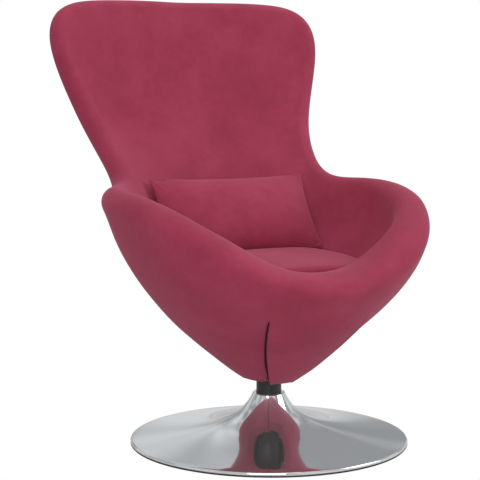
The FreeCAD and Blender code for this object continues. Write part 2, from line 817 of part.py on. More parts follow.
def band_depths(turn, rise, place):
    """Depths of a band's two faces, between the cover and the pad.

    Place is 0 for the hoops, 1 for the stays behind them and -1 for the webbing before the stays.
    """
    cover = size("cover_layer")
    near = cover + (frame_depth(turn, rise) - cover) / 2 + size("band_thickness")
    if place < 0:
        near -= size("band_thickness")
        return near + size("strap_thickness"), near
    near -= place * (size("band_thickness") + size("seat_clearance"))
    return near, near - size("band_thickness")


def led_row(level, place, face):
    """Row of points on one face of a band, at the share of the rise that level gives per turn."""
    row = []
    for turn in HALF:
        rise = level(turn)
        row.append(inside(turn, rise, band_depths(turn, rise, place)[face]))
    return centred(row)


def hoop(name, lower, upper):
    """Closed steel hoop round the pod. Lower and upper give its edges as shares of the rise."""
    faces = [[led_row(edge, 0, face) for edge in (lower, upper)] for face in (0, 1)]
    return feature(name, layer(faces[0], faces[1], 0))


def low_edge(turn):
    """Lower edge of the lower hoop, level with the seat rails."""
    return rise_at(turn, evaluate(RAIL_Z) - 2)


def high_edge(turn):
    """Upper edge of the lower hoop."""
    return rise_at(turn, evaluate(RAIL_Z) - 2 + size("band_width"))


def rim_low_edge(turn):
    """Lower edge of the upper hoop, which follows the rim."""
    return 0.80


def rim_high_edge(turn):
    """Upper edge of the upper hoop."""
    return 0.80 + band_share(turn, size("rim_hoop_width"))


def band_share(turn, width):
    """Share of the rise that a width takes up at one turn."""
    return width / (rim_at(turn)[1] - size("pod_clearance"))


def make_lower_hoop():
    """Level hoop at the height of the seat rails."""
    return hoop("lower_hoop", low_edge, high_edge)


def make_upper_hoop():
    """Hoop that follows the rim from the lap up over the back."""
    return hoop("upper_hoop", rim_low_edge, rim_high_edge)


WEBBING_SHARES = (0.46, 0.64)


def strap_edges(share):
    """Lower and upper edge of one strap of the back, as shares of the rise per turn."""
    return [lambda turn: share, lambda turn: share + band_share(turn, size("back_strap_width"))]


def stay(name, turn):
    """Pair of upright steel stays behind both hoops, from the lower one to the upper one."""
    levels = [low_edge, high_edge]
    for share in WEBBING_SHARES:
        levels += strap_edges(share)
    levels += [rim_low_edge, rim_high_edge]
    faces = []
    for face in (0, 1):
        rows = []
        for level in levels:
            curve = row_curve(led_row(level, 1, face))
            middle = curve.value(turn * 2 * HALF_TURNS)
            ahead = curve.value(turn * 2 * HALF_TURNS + 0.1)
            reach = 0.1 * size("band_width") / 2 / middle.distanceToPoint(ahead)
            rows.append([curve.value(turn * 2 * HALF_TURNS + side * reach) for side in (-1, 1)])
        faces.append(rows)
    right = layer(faces[0], faces[1], 2)
    return feature(name, Part.makeCompound([right, mirrored(right)]))


BACK_STAY_TURN = 0.43


def make_back_stays():
    """Two stays up the back."""
    return stay("back_stays", BACK_STAY_TURN)


def make_side_stays():
    """Two stays up into the arms."""
    return stay("side_stays", 0.20)


def make_back_webbing():
    """Two elastic straps across the back, laid over the two stays."""
    straps = []
    for share in WEBBING_SHARES:
        levels = strap_edges(share)
        grids = []
        for face in (0, 1):
            rows = []
            for level in levels:
                curve = row_curve(led_row(level, -1, face))
                first = (BACK_STAY_TURN - 0.006) * 2 * HALF_TURNS
                places = [first + (HALF_TURNS - first) * number / 3 for number in range(3)]
                row = [curve.value(place) for place in places]
                rows.append(row + [Vector(0, row[-1].y, row[-1].z)])
            grids.append(rows)
        straps.append(layer(grids[0], grids[1], 1))
    return feature("back_webbing", Part.makeCompound(straps))


# Seat frame

def hoop_reach(x, half_width):
    """Furthest that a rail at x may run forward and back before it meets the lower hoop."""
    front, back = -1e6, 1e6
    for edge in (low_edge, high_edge):
        curve = row_curve(led_row(edge, 0, 0))
        for number in range(241):
            point = curve.value(HALF_TURNS * number / 240)
            if abs(point.x - x) > half_width + 2:
                continue
            if point.y < 0:
                front = max(front, point.y)
            else:
                back = min(back, point.y)
    return front + size("seat_clearance"), back - size("seat_clearance")


def make_seat_rails():
    """Two square tubes on the swivel plate, each from the front of the lower hoop to its back."""
    pitch = size("plate_hole_pitch") / 2
    width, height, wall = size("rail_width"), size("rail_height"), size("rail_wall")
    front, back = hoop_reach(pitch, width / 2)
    base = evaluate(RAIL_Z)
    hole = evaluate("plate_screw_diameter / 2 + running_clearance")
    rails = []
    for side in (1, -1):
        outer = Part.makeBox(width, back - front, height, Vector(side * pitch - width / 2, front, base))
        inner = Part.makeBox(width - 2 * wall, back - front + 2, height - 2 * wall,
                             Vector(side * pitch - width / 2 + wall, front - 1, base + wall))
        rail = outer.cut(inner)
        for y in (-pitch, pitch):
            rail = rail.cut(Part.makeCylinder(hole, wall + 2, Vector(side * pitch, y, base - 1)))
        rails.append(rail)
    return feature("seat_rails", Part.makeCompound(rails))


def make_cross_rails():
    """Two flat tubes across the seat rails, which carry the webbing."""
    width, height, wall = size("cross_rail_width"), size("cross_rail_height"), size("rail_wall")
    length = size("plate_hole_pitch") + 2 * size("rail_width")
    base = evaluate(CROSS_Z)
    rails = []
    for side in (1, -1):
        y = side * size("cross_rail_pitch") / 2 - width / 2
        outer = Part.makeBox(length, width, height, Vector(-length / 2, y, base))
        inner = Part.makeBox(length + 2, width - 2 * wall, height - 2 * wall,
                             Vector(-length / 2 - 1, y + wall, base + wall))
        rails.append(outer.cut(inner))
    return feature("cross_rails", Part.makeCompound(rails))


def make_seat_webbing():
    """Three straps from the front cross rail to the rear one, under the pad's floor."""
    straps = [box(f"seat_strap_{index}", ("strap_width", "cross_rail_pitch + cross_rail_width",
                                          "strap_thickness"),
                  (f"( {index} ) * ( strap_width + strap_gap )", "0"), STRAP_Z)
              for index in (-1, 0, 1)]
    return group("seat_webbing", straps)


# Upholstery

def make_inner_pad():
    """Moulded padding with its cover: rolled rim, inner wall, lap and floor in one piece."""
    front_rows, rear_rows = pad_front_rows(), pad_rear_rows()
    faces = strips(front_rows) + strips(rear_rows) + [strip(front_rows[0], rear_rows[0])]
    faces += [mirrored(face) for face in faces]
    for rows in (front_rows, rear_rows):
        edge = row_curve(rows[-1]).toShape()
        faces.append(Part.Face(Part.Wire([edge, mirrored(edge)])))
    return feature("inner_pad", solid_from(faces))


def slit_blade(side):
    """Thin upright blade that opens one slit of the cover."""
    width = size("slit_width")
    reach = size("pod_depth")
    top = size("pod_clearance") + size("slit_rise")
    blade = Part.makeBox(width, reach, top, Vector(-width / 2, -reach - size("hem_bore") / 2, 0))
    blade.rotate(Vector(0, 0, 0), Vector(0, 0, 1), side * size("slit_angle"))
    return blade


def make_outer_cover():
    """Outer cover of the pod, from the hem to the seam under the roll, with two slits in front."""
    def rows(depth, steps):
        result = []
        for step in range(steps + 1):
            row = []
            for turn in HALF:
                top = 1 - size("seat_clearance") / (rim_at(turn)[1] - size("pod_clearance"))
                row.append(inside(turn, top * step / steps, depth))
            result.append(centred(row))
        return result
    cover = layer(rows(0.0, 6), rows(size("cover_layer"), 6), 0)
    for side in (1, -1):
        cover = cover.cut(slit_blade(side))
    return feature("outer_cover", cover)


def make_bottom_hem():
    """Turned-in hem round the column, inside the foot of the cover."""
    foot = size("pod_clearance")
    thickness = size("hem_thickness")
    radii = []
    for number in range(33):
        point = inside(0.5 * number / 32, 0.0, size("cover_layer"))
        radii.append(math.hypot(point.x, point.y))
    outer = min(radii) - 1 - size("seat_clearance")
    hem = Part.makeCylinder(outer, thickness, Vector(0, 0, foot + 3))
    bore = Part.makeCylinder(size("hem_bore") / 2, thickness + 2, Vector(0, 0, foot + 2))
    return feature("bottom_hem", hem.cut(bore))


# Loose cushions

def lens_wire(x, base, tilt, half, rise_front, rise_back):
    """Section of a cushion at x: two arcs that meet at a thin edge, leaning back by the tilt."""
    along = Vector(0, math.sin(tilt), math.cos(tilt))
    across = Vector(0, -math.cos(tilt), math.sin(tilt))
    centre = Vector(x, base.y, base.z)
    low, high = centre - along * half, centre + along * half
    front = Part.Arc(low, centre + across * rise_front, high).toShape()
    back = Part.Arc(high, centre - across * rise_back, low).toShape()
    return Part.Wire([front, back])


def pad_outline(inset, height):
    """Half outline of the seat pad at a height: a superellipse drawn in by an inset."""
    half = size("seat_pad_width") / 2 - inset
    power = size("seat_pad_corner")
    row = []
    for turn in HALF:
        swing = 2 * math.pi * turn - math.pi / 2
        cosine, sine = math.cos(swing), math.sin(swing)
        radius = (abs(cosine) ** power + abs(sine) ** power) ** (-1 / power)
        reach = size("seat_pad_front") if sine < 0 else size("seat_pad_back")
        row.append(Vector(half * cosine * radius, (reach - inset) * sine * radius, height))
    return centred(row)


def make_seat_pad():
    """Loose seat pad in the bowl: drawn in underneath, widest at its upper edge, crowned on top."""
    base = evaluate(FLOOR_TOP) + size("seat_clearance")
    side, crown = size("seat_pad_side"), size("seat_pad_crown")
    drawn_in = size("seat_pad_draw_in")
    rows = [pad_outline(drawn_in, base), pad_outline(0.25 * drawn_in, base + 0.5 * side),
            pad_outline(0, base + side), pad_outline(crown, base + side + 0.6 * crown),
            pad_outline(4 * crown, base + side + crown)]
    faces = strips(rows)
    faces += [mirrored(face) for face in faces]
    for row in (rows[0], rows[-1]):
        edge = row_curve(row).toShape()
        faces.append(Part.Face(Part.Wire([edge, mirrored(edge)])))
    return feature("seat_pad", solid_from(faces))


def make_lumbar_pillow():
    """Small stuffed pillow: thin edges, crowned faces and sides drawn in between the corners."""
    half_length = size("pillow_length") / 2
    half_height = size("pillow_height") / 2
    tilt = math.radians(size("pillow_lean"))
    base = Vector(0, size("pillow_back"), pillow_foot() + half_height * math.cos(tilt))
    wires = []
    for share in (-1.0, -0.88, -0.5, 0.0, 0.5, 0.88, 1.0):
        swell = max(0.0, 1 - abs(share) ** 2.6)
        draw = size("pillow_draw_in") * (1 - abs(share) ** 3)
        rise = 3 + (size("pillow_thickness") / 2 - 3) * math.sqrt(swell)
        x = half_length * share
        wires.append(lens_wire(x, base, tilt, half_height - draw / 2, rise, rise))
    return feature("lumbar_pillow", Part.makeLoft(wires, True, True))


def pillow_foot():
    """Height of the pillow's lower edge, on the crown of the seat pad."""
    return (evaluate(FLOOR_TOP) + size("seat_clearance") + size("seat_pad_side")
            + size("seat_pad_crown") - size("pillow_sink"))


NODES = {
    "base_cover": make_base_cover,
    "floor_ring": make_floor_ring,
    "ballast_plate": make_ballast_plate,
    "column": make_column,
    "flange_screws": make_flange_screws,
    "column_bushes": make_column_bushes,
    "spindle": make_spindle,
    "spindle_keeper": make_spindle_keeper,
    "swivel_plate": make_swivel_plate,
    "plate_screws": make_plate_screws,
    "seat_rails": make_seat_rails,
    "cross_rails": make_cross_rails,
    "seat_webbing": make_seat_webbing,
    "lower_hoop": make_lower_hoop,
    "upper_hoop": make_upper_hoop,
    "back_stays": make_back_stays,
    "side_stays": make_side_stays,
    "back_webbing": make_back_webbing,
    "inner_pad": make_inner_pad,
    "outer_cover": make_outer_cover,
    "bottom_hem": make_bottom_hem,
    "seat_pad": make_seat_pad,
    "lumbar_pillow": make_lumbar_pillow,
}


def main():
    """Build every node, check it and write it."""
    nodes = {name: maker() for name, maker in NODES.items()}
    DOC.recompute()
    for item in DOC.Objects:
        faults = [state for state in item.State if state in ("Invalid", "Error")]
        if faults:
            raise RuntimeError(f"{item.Name} is {', '.join(faults)}")
    os.makedirs("parts", exist_ok=True)
    for name, node in nodes.items():
        node.Label = name
        shape = node.Shape
        if shape.isNull() or not shape.isValid():
            raise RuntimeError(f"{name} has no valid shape")
        print(name, len(shape.Solids), "solids", round(shape.Volume / 1000, 1), "cm3")
    for name, node in nodes.items():
        node.Shape.exportStep(os.path.join("parts", f"{name}.step"))


main()
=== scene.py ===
# %% [markdown]
# # A velvet pod chair on a chrome trumpet base
#
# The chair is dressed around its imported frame, in metres, with the floor at zero and its front
# facing -Y. The rigid pieces inside come from the frame as they are. The soft pieces and the
# mirror-like base are made again here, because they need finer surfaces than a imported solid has.

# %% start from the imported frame
import math

import bmesh
import bpy
import numpy as np
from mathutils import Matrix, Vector


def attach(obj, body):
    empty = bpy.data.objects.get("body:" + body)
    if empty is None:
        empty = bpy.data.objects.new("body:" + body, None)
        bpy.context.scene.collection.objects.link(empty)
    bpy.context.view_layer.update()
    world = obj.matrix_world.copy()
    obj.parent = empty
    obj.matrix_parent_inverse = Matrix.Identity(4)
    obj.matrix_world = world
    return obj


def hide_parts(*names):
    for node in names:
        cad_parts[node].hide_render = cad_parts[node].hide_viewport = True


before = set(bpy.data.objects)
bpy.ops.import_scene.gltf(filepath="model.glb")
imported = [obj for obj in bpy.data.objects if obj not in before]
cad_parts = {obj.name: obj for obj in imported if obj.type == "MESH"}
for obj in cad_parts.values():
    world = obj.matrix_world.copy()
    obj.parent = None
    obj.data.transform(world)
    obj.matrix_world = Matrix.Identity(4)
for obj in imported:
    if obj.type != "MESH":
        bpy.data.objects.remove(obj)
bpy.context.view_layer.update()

# %% [markdown]
# ## Meshes from grids
#
# Upholstery could be modelled by hand, with a cage of faces and a subdivision modifier. Here each
# soft or turned surface is a grid of points, worked out by a formula of two numbers, so that every
# size in it can be read and changed. The grid's columns run round the piece and close on
# themselves, and its first and last rows may close on a single point, the pole.

# %% two small formulas
def unit(vectors):
    """Vectors scaled to length one."""
    length = np.linalg.norm(vectors, axis=-1, keepdims=True)
    return vectors / np.maximum(length, 1e-12)


def smooth(share):
    """Step from 0 to 1 with level ends: 3 t squared minus 2 t cubed."""
    share = np.clip(share, 0, 1)
    return share * share * (3 - 2 * share)


print("the smooth step is at", smooth(.25), "a quarter of the way")

# %% from a grid to a closed mesh
def ring_faces(rows, columns):
    """Quads of a grid whose columns close on themselves, each turned the same way."""
    row, column = np.meshgrid(np.arange(rows - 1), np.arange(columns), indexing="ij")
    following = (column + 1) % columns
    quads = np.stack([row * columns + column, row * columns + following,
                      (row + 1) * columns + following, (row + 1) * columns + column], -1)
    return quads.reshape(-1, 4)


def weld(piece, distance=1e-6):
    """Joins doubled points and turns every face outwards."""
    work = bmesh.new()
    work.from_mesh(piece.data)
    bmesh.ops.remove_doubles(work, verts=work.verts, dist=distance)
    bmesh.ops.recalc_face_normals(work, faces=work.faces)
    work.to_mesh(piece.data)
    work.free()


def solid_from_rings(name, grid, first_pole=None, last_pole=None):
    """Closed mesh from rings of points, with a fan of triangles to a pole at either end."""
    rows, columns = grid.shape[:2]
    points = grid.reshape(-1, 3)
    faces = ring_faces(rows, columns).tolist()
    ring = np.arange(columns)
    for pole, start, flip in ((first_pole, 0, True), (last_pole, (rows - 1) * columns, False)):
        if pole is None:
            continue
        fan = np.stack([start + ring, start + (ring + 1) % columns,
                        np.full(columns, len(points))], -1)
        faces += (fan[:, ::-1] if flip else fan).tolist()
        points = np.vstack([points, pole])
    mesh = bpy.data.meshes.new(name)
    mesh.from_pydata(points.tolist(), [], faces)
    mesh.update()
    mesh.polygons.foreach_set("use_smooth", np.ones(len(mesh.polygons), bool))
    piece = bpy.data.objects.new(name, mesh)
    bpy.context.scene.collection.objects.link(piece)
    weld(piece)
    return piece


def mesh_points(piece):
    """All points of a piece's mesh as rows of x, y and z."""
    places = np.empty(3 * len(piece.data.vertices))
    piece.data.vertices.foreach_get("co", places)
    return places.reshape(-1, 3)


def report(piece):
    """Prints a piece's size in millimetres and its number of faces."""
    spread = np.round(np.ptp(mesh_points(piece), axis=0) * 1000)
    print(f"{piece.name}: {spread} mm, {len(piece.data.polygons)} faces")


# %% [markdown]
# ## The form of the pod
#
# On the real chair a padded shell is pulled into a cover. It could be sculpted, but its outlines
# are smooth and few numbers describe them. So the pod is one surface with two parameters. The
# turn runs round the chair from the middle of the front. The rise runs from the hem up to the
# seam under the roll. Level sections give the width and the reach at each height, and stations
# round the rim give its height. Cubic B-splines smooth both.

# %% level sections and rim stations
# height, half width, front reach, centre, rear reach, rear narrowing, squareness front and rear
SECTIONS = np.array([
    [.140, .058, .060, .000, .058, .00, 2.0, 2.0], [.165, .094, .100, .000, .094, .00, 2.0, 2.0],
    [.200, .135, .144, .000, .130, .00, 2.0, 2.0], [.260, .206, .213, .002, .188, .06, 2.0, 2.0],
    [.320, .260, .272, .005, .234, .17, 2.1, 2.0], [.380, .304, .306, .010, .268, .25, 2.3, 2.0],
    [.450, .338, .320, .022, .298, .29, 2.4, 2.0], [.520, .352, .323, .040, .340, .28, 2.4, 2.0],
    [.600, .400, .323, .045, .392, .18, 2.4, 2.5], [.680, .436, .323, .045, .428, .03, 2.4, 2.75],
    [.780, .508, .323, .045, .450, .00, 2.4, 2.85], [.880, .568, .323, .045, .470, .00, 2.4, 2.9],
    [.980, .612, .323, .045, .488, .00, 2.4, 2.9]])

# plan angle, height, plan angle at the hem, radius of the roll, from front centre to back centre
RIM = np.array([
    [-90, .346, -90, .036], [-72, .352, -72, .036], [-57, .378, -57, .036], [-43, .432, -44, .036],
    [-26, .486, -28, .035], [-6, .508, -12, .034], [15, .513, 4, .032], [32, .506, 22, .030],
    [43, .540, 38, .027], [52, .645, 50, .025], [55.5, .760, 59, .023], [56.5, .850, 66, .022],
    [60, .925, 73, .022], [70, .942, 81, .022], [90, .936, 90, .022]])

HEM = SECTIONS[0, 0]
FLOOR = .352
print(len(SECTIONS), "sections and", len(RIM), "stations, hem at", HEM, "m")

# %% [markdown]
# ## Smooth curves from few numbers
#
# A maker would draw such curves with a flexible strip held by weights. A curve object could be
# bent the same way, but the surface needs the curve's value at thousands of places at once. A
# cubic B-spline gives that as four weighted shares of the nearest rows, and it doesn't bulge
# between the rows that lead it.

# %% splines through sections and stations
FINE_STEPS = 3001


def weights(t):
    """The four shares of a uniform cubic B-spline at t from 0 to 1."""
    return np.stack([(1 - t) ** 3, 3 * t ** 3 - 6 * t ** 2 + 4,
                     -3 * t ** 3 + 3 * t ** 2 + 3 * t + 1, t ** 3], -1) / 6


def along_rows(rows, place):
    """Point of the B-spline led by rows, with both ends reflected."""
    padded = np.concatenate([[2 * rows[0] - rows[1]], rows, [2 * rows[-1] - rows[-2]]])
    index = np.clip(np.floor(place).astype(int), 0, len(padded) - 4)
    share = weights(place - index)
    return sum(share[..., k:k + 1] * padded[index + k] for k in range(4))


FINE = along_rows(SECTIONS, np.linspace(0, len(SECTIONS) - 1, FINE_STEPS))
MIRRORED = RIM[::-1][1:-1] * [-1, 1, -1, 1] + [180, 0, 180, 0]
STATIONS = np.vstack([RIM, MIRRORED])
EVEN = -90 + 360 * np.arange(len(STATIONS)) / len(STATIONS)
SHIFTS = STATIONS - np.stack([EVEN, 0 * EVEN, EVEN, 0 * EVEN], -1)


def rim(turn):
    """Plan angle, height, hem angle and roll radius of the rim: a closed B-spline of stations."""
    place = (turn % 1) * len(STATIONS)
    index = np.floor(place).astype(int)
    share = weights(place - index)
    value = sum(share[..., k:k + 1] * SHIFTS[(index - 1 + k) % len(STATIONS)] for k in range(4))
    straight = -90 + 360 * turn
    return value[..., 0] + straight, value[..., 1], value[..., 2] + straight, value[..., 3]


print("rim runs from", rim(np.array([0.0]))[1][0], "to", rim(np.array([0.5]))[1][0], "m")

# %% [markdown]
# ## The outside
#
# The real cover is stretched over a shell, so it has no flat places and no sharp edges. A cage of
# faces could follow it by eye. Here each level section is two half ovals that share a width. A
# squareness turns an oval towards a rectangle, and a narrowing draws in its back. Those two give
# the pod's change from a round foot to a broad, curved back.

# %% outer surface
ANGLE_POWER = 1.3
STEP = 2e-3


def wall(angle, height):
    """Point of the outer surface at a plan angle and height: two half superellipses that share a
    width, the rear one narrowed by the square of its sine."""
    half, front, centre, rear, narrow, square_front, square_rear = [
        np.interp(height, FINE[:, 0], FINE[:, k]) for k in range(1, 8)]
    cosine, sine = np.cos(np.radians(angle)), np.sin(np.radians(angle))
    power = 2 + (np.where(sine < 0, square_front, square_rear) - 2) * (1 - (1 - np.abs(sine)) ** 2)
    radius = (np.abs(cosine) ** power + np.abs(sine) ** power) ** (-1 / power)
    x = half * cosine * radius * (1 - narrow * np.maximum(sine, 0) ** 2)
    y = centre + np.where(sine < 0, front + centre, rear - centre) * sine * radius
    return np.stack([x, y, height + 0 * x], -1)


def outer(turn, rise):
    """Outer surface: the plan angle moves from the hem's to the rim's with a power of the rise."""
    rim_angle, rim_height, hem_angle, _ = rim(turn)
    angle = hem_angle + (rim_angle - hem_angle) * rise ** ANGLE_POWER
    return wall(angle, HEM + (rim_height - HEM) * rise)


def outward(turn, rise):
    """Unit normal of the outer surface, from small steps along both parameters."""
    across = outer(turn + STEP, rise) - outer(turn - STEP, rise)
    upward = outer(turn, rise + STEP) - outer(turn, np.maximum(rise - STEP, 0))
    return unit(np.cross(across, upward))


print("front of the seat at", np.round(outer(np.zeros(1), np.ones(1))[0], 3))

# %% [markdown]
# ## The rolled rim
#
# The rim of the real chair is a thick padded roll. A round profile along a curve would be quick,
# but it would leave a crease where it meets the walls. This roll starts and ends in line with
# them: it is a half circle that swings from the seam over the top. Across the front of the seat
# it reaches further in and lies a little lower, as a lip that the seat pad lies behind.

# %% rolled rim with its front lip
LIP_END, LIP_FADE = 70.0, 40.0
LIP_REACH, LIP_LIFT = .032, -.007
LIFT_FULL, LIFT_HOLD, LIFT_TAIL = 1.9, 2.35, .79


def front_share(turn):
    """1 across the front of the seat, falling to 0 where the arms begin."""
    angle = rim(turn)[0]
    away = np.abs((angle + 270) % 360 - 180)
    return smooth((LIP_END - away) / LIP_FADE)


def roll(turn, swing):
    """Rolled rim: a half circle from the seam, at 0, over the top to the inner wall, at pi. Across
    the front it reaches further in and lies lower, as a broad lip before the seat pad."""
    one = np.ones_like(turn)
    seam, normal = outer(turn, one), outward(turn, one)
    along = unit(outer(turn + STEP, one) - outer(turn - STEP, one))
    upward = np.cross(along, normal)
    upward *= np.sign((upward * (seam - outer(turn, one - STEP / 2))).sum(-1, keepdims=True))
    radius = rim(turn)[3][..., None]
    swung = normal * np.cos(swing)[..., None] + upward * np.sin(swing)[..., None]
    points = seam - normal * radius + swung * radius
    share = front_share(turn)
    level = unit(normal * [1, 1, 0])
    points -= level * (share * LIP_REACH * smooth(swing / np.pi))[..., None]
    lift = smooth(swing / LIFT_FULL) * (1 - smooth((swing - LIFT_HOLD) / LIFT_TAIL))
    points[..., 2] += share * LIP_LIFT * lift
    return points


print("the lip reaches", round(LIP_REACH * 1000, 1), "mm further in")

# %% [markdown]
# ## The inner wall
#
# The padding's thickness changes from place to place. A Solidify modifier would give it one
# thickness everywhere. The formula moves the outer surface in by twice the roll's radius. Below
# the rim it adds to that in the back and takes from it in the front. Then it bends the wall into
# the seat's floor.

# %% inner wall
SEAT_EDGE = .16
FLOOR_BLEND = .045
BACK_PADDING, FRONT_PADDING = .012, -.018


def settle(height, floor, blend):
    """Larger of a height and a floor, with a parabolic fillet two blends wide."""
    share = np.clip((height - floor + blend) / (2 * blend), 0, 1)
    return np.where(height - floor > blend, height, floor + blend * share * share)


def inner(turn, rise):
    """Inner wall: the outer surface moved in by the padding, then levelled with the floor."""
    rim_angle, _, _, radius = rim(turn)
    sine = np.sin(np.radians(rim_angle))
    extra = np.where(sine > 0, BACK_PADDING, FRONT_PADDING) * sine ** 2
    thickness = 2 * radius + smooth((1 - rise) / .5) * extra
    normal = outward(turn, rise)
    points = outer(turn, rise) - normal * thickness[..., None]
    reach = front_share(turn) * LIP_REACH * np.clip((rise - SEAT_EDGE) / (1 - SEAT_EDGE), 0, 1)
    points -= unit(normal * [1, 1, 0]) * reach[..., None]
    points[..., 2] = settle(points[..., 2], FLOOR, FLOOR_BLEND)
    return points


print("seat floor at", FLOOR, "m")

# %% [markdown]
# ## Slits and apron
#
# Two slits run up the front of the real cover and part an apron from the sides. They could be cut
# with a boolean, but that leaves ragged faces. A slit is a narrow groove in the grid instead, so
# the columns of the grid crowd together there.

# %% where the slits lie
SLIT_ANGLE = 28.0
SLIT_TOP = .302
SLIT_HALF = .0030
SLIT_BOW = .0065
SLIT_DEPTH, SLIT_BLUNTNESS = .013, .35


def slit_turn():
    """Turn at which the hem's plan angle reaches the slit's, found by halving."""
    low, high = 0.0, 0.2
    for _ in range(40):
        middle = (low + high) / 2
        angle = rim(np.array([middle]))[2][0]
        low, high = (middle, high) if angle < -90 + SLIT_ANGLE else (low, middle)
    return (low + high) / 2


SLIT_TURN = slit_turn()


def columns(even=360, crowd=49, width=.0125):
    """Turns of the columns: even ones, and a crowd of them across each slit."""
    turns = np.arange(even) / even
    for centre in (SLIT_TURN, 1 - SLIT_TURN):
        turns = turns[np.abs(turns - centre) > width + .0005]
        turns = np.append(turns, centre + np.linspace(-width, width, crowd))
    return np.sort(turns)


print("slits at a turn of", round(SLIT_TURN, 4), "among", len(columns()), "columns")

# %% [markdown]
# ## The cloth beside a slit
#
# On the chair the apron stands a little proud, and the sides tuck in behind it. Both could be
# sculpted. Here they are steps across the slit, added along the surface's normal, so that their
# height can be read in millimetres. The same distance makes the lining give way behind the slit.

# %% the groove and what lies beside it
APRON_HEIGHT = .0042
TUCK_DEPTH, TUCK_FADE = .0075, .045
LIP_SWELL, SWELL_PLACE, SWELL_WIDTH = .0012, .005, .004
POCKET_DEPTH, POCKET_END, POCKET_FADE = .0150, .016, .010
EDGE_WIDTH = .003


def slit_place(points):
    """Distance across the nearer slit and share of the way down it. The slit bows sideways."""
    reach = np.hypot(points[..., 0], points[..., 1])
    angle = np.degrees(np.arctan2(np.abs(points[..., 0]), -points[..., 1]))
    share = np.clip((SLIT_TOP - points[..., 2]) / (SLIT_TOP - HEM), 0, 1)
    distance = np.radians(angle - SLIT_ANGLE) * reach - SLIT_BOW * np.sin(np.pi * share)
    return distance, share


def below_slit_top(points):
    """0 above the slits, rising to 1 over the 50 mm below their tops."""
    return smooth((SLIT_TOP + .012 - points[..., 2]) / .05)


def slit_gap(points):
    """1 in the middle of a slit, 0 at its edges and away from it. It is widest half way down."""
    distance, share = slit_place(points)
    half = SLIT_HALF * (.5 + .5 * np.sin(np.pi * share))
    return np.clip(1 - np.abs(distance) / half, 0, 1) * smooth((SLIT_TOP - points[..., 2]) / .008)


def slit_depth(points):
    """How far the cover sinks at a slit, swells beside it, and stands proud between the two."""
    distance, _ = slit_place(points)
    apron = APRON_HEIGHT * smooth(-distance / EDGE_WIDTH)
    tucked = TUCK_DEPTH * smooth(distance / EDGE_WIDTH)
    tucked = tucked * np.exp(-np.maximum(distance, 0) / TUCK_FADE)
    swell = LIP_SWELL * np.exp(-((np.abs(distance) - SWELL_PLACE) / SWELL_WIDTH) ** 2)
    groove = SLIT_DEPTH * slit_gap(points) ** SLIT_BLUNTNESS
    return (swell + apron - tucked) * below_slit_top(points) - groove


def pocket(points):
    """How much further in the lining lies behind a slit, so that the two stay apart."""
    distance, _ = slit_place(points)
    near = smooth((POCKET_END - np.abs(distance)) / POCKET_FADE)
    return POCKET_DEPTH * near * below_slit_top(points)


print("slits are", round(SLIT_DEPTH * 1000, 1), "mm deep")

# %% [markdown]
# ## Unevenness of the cloth
#
# Stuffed cloth is never quite even, and a perfectly smooth form looks like plastic. A Displace
# modifier with a cloud texture would do. A few crossed sine waves of about a millimetre do the
# same without a texture, and they can be weaker or stronger from piece to piece.

# %% unevenness of the cloth
WAVE_HEIGHT = .00035


def waves(points, size=1.0):
    """Slow unevenness of stuffed cloth, in metres: five crossed sine waves."""
    x, y, z = points[..., 0], points[..., 1], points[..., 2]
    total = (np.sin(17 * x + 9 * z + 1.3) * np.sin(13 * y - 11 * z)
             + .7 * np.sin(31 * x - 23 * y + 2.1) + .6 * np.sin(29 * z + 19 * y + .4)
             + .4 * np.sin(53 * x + 41 * z) * np.sin(47 * y + 1.1)
             + .3 * np.sin(71 * y - 67 * z + 37 * x))
    return WAVE_HEIGHT * size * total


print("waves of up to", round(WAVE_HEIGHT * 3 * 1000, 2), "mm")

# %% [markdown]
# ## The pod's upholstery
#
# The chair has a padded shell, a cover and a hem, which meet without a gap. They could be three
# pieces, but then their edges would have to be hidden. So the rings start under the seat floor,
# run down the lining to the hem, turn up the outside, go over the roll and come down the inner
# wall to the seat. That makes one closed piece with a hollow foot, where the turning plate is.

# %% rings of the lining and the hem
LINING_DEPTH = .0068
LINING_TOP, LINING_FOOT = .2940, .1475
turns = columns()


def ring_of(function, value):
    """One ring of the grid at a fixed second parameter."""
    return function(turns, np.full_like(turns, value))


def shrunk(ring, share, height):
    """A ring drawn in towards the column's axis and laid level."""
    return np.stack([ring[:, 0] * share, ring[:, 1] * share, np.full(len(ring), height)], -1)


def height_ring(height, depth):
    """Ring of the lining at one height, a depth inside the outer surface."""
    rise = (height - HEM) / (rim(turns)[1] - HEM)
    points = outer(turns, rise)
    tuck = TUCK_DEPTH * smooth(slit_place(points)[0] / EDGE_WIDTH + 1) * (height < SLIT_TOP)
    inward = outward(turns, rise) * (depth + pocket(points) + tuck)[:, None]
    return np.column_stack([(points - inward)[:, :2], np.full(len(points), height)])


lining = [height_ring(height, LINING_DEPTH) for height in np.linspace(LINING_TOP, LINING_FOOT, 14)]
rings = [shrunk(lining[0], share, LINING_TOP) for share in (.3, .6, .85, .97)] + lining
HEM_FOLD = ((.80, .1455), (.62, .1450), (.60, .1435), (.64, .1418), (.86, .1405))
rings += [shrunk(lining[-1], share, height) for share, height in HEM_FOLD]
print(len(rings), "rings of lining and hem")

# %% [markdown]
# ## From the hem over the rim to the seat
#
# The three visible parts of the padding follow each other as rings of the same points. They could
# be three meshes with a bridge between them. As one list of rings they need no bridge, and each
# part brings its own unevenness, which fades out towards the hem.

